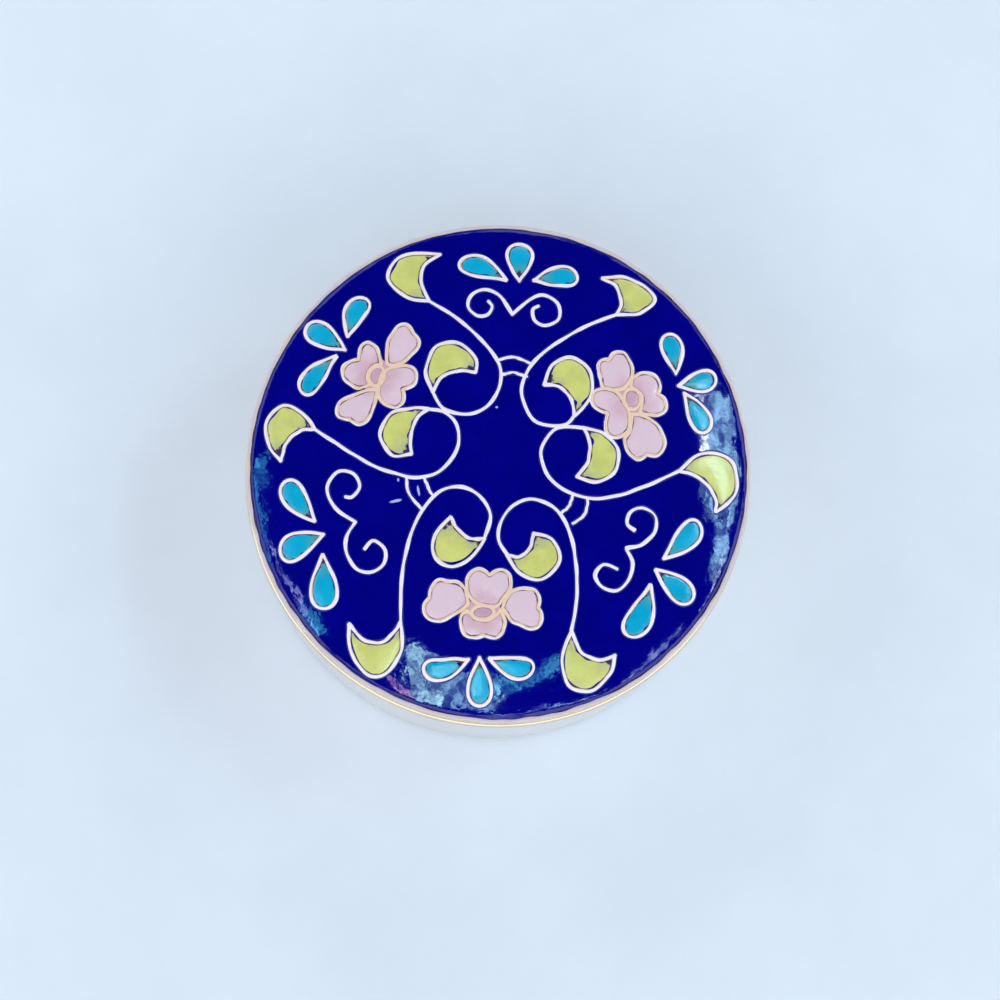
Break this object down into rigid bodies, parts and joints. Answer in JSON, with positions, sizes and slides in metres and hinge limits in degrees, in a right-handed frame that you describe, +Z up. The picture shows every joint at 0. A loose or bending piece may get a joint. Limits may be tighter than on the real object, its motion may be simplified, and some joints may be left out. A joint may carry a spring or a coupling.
{
  "type": "cloisonne enamel box",
  "caption": "Small round brass box with a lift-off domed lid, enamelled in wire-edged cells with flowers, leaves and drops on a cobalt ground; the base is a plain hollow cup.",
  "frame": {"origin": "centre of the underside of the foot ring, on the surface that the box stands on", "axes": "+Z up through the lid, +Y to the pattern's far side, away from its lone upright flower, +X to the right of it"},
  "size_m": [0.0506, 0.0506, 0.0267],
  "materials": {
    "brass": "polished, faintly worn",
    "cobalt_enamel": "glossy, smooth",
    "turquoise_enamel": "glossy, smooth",
    "leaf_enamel": "glossy, lightly pitted",
    "petal_enamel": "glossy, lightly pitted",
    "centre_enamel": "glossy, lightly pitted"
  },
  "bodies": {
    "root": {"base": "brass", "lid_shell": "brass", "enamel_ground": "cobalt_enamel", "drop_bottom_1": "turquoise_enamel", "drop_bottom_2": "turquoise_enamel", "drop_bottom_3": "turquoise_enamel", "drop_left_1": "turquoise_enamel", "drop_left_2": "turquoise_enamel", "drop_left_3": "turquoise_enamel", "drop_low_left_1": "turquoise_enamel", "drop_low_left_2": "turquoise_enamel", "drop_low_left_3": "turquoise_enamel", "drop_low_right_1": "turquoise_enamel", "drop_low_right_2": "turquoise_enamel", "drop_low_right_3": "turquoise_enamel", "drop_right_1": "turquoise_enamel", "drop_right_2": "turquoise_enamel", "drop_right_3": "turquoise_enamel", "drop_top_1": "turquoise_enamel", "drop_top_2": "turquoise_enamel", "drop_top_3": "turquoise_enamel", "enamel_link_left": "cobalt_enamel", "enamel_link_top": "cobalt_enamel", "enamel_nook": "cobalt_enamel", "flower_centre_bottom": "centre_enamel", "flower_centre_left": "centre_enamel", "flower_centre_right": "centre_enamel", "leaf_inner_left": "leaf_enamel", "leaf_inner_low_left": "leaf_enamel", "leaf_inner_low_right": "leaf_enamel", "leaf_inner_right": "leaf_enamel", "leaf_inner_top_left": "leaf_enamel", "leaf_inner_top_right": "leaf_enamel", "leaf_outer_left": "leaf_enamel", "leaf_outer_low_left": "leaf_enamel", "leaf_outer_low_right": "leaf_enamel", "leaf_outer_right": "leaf_enamel", "leaf_outer_top_left": "leaf_enamel", "leaf_outer_top_right": "leaf_enamel", "petal_bottom_1": "petal_enamel", "petal_bottom_2": "petal_enamel", "petal_bottom_3": "petal_enamel", "petal_bottom_4": "petal_enamel", "petal_left_1": "petal_enamel", "petal_left_2": "petal_enamel", "petal_left_3": "petal_enamel", "petal_left_4": "petal_enamel", "petal_right_1": "petal_enamel", "petal_right_2": "petal_enamel", "petal_right_3": "petal_enamel", "petal_right_4": "petal_enamel"}
  },
  "joints": []
}
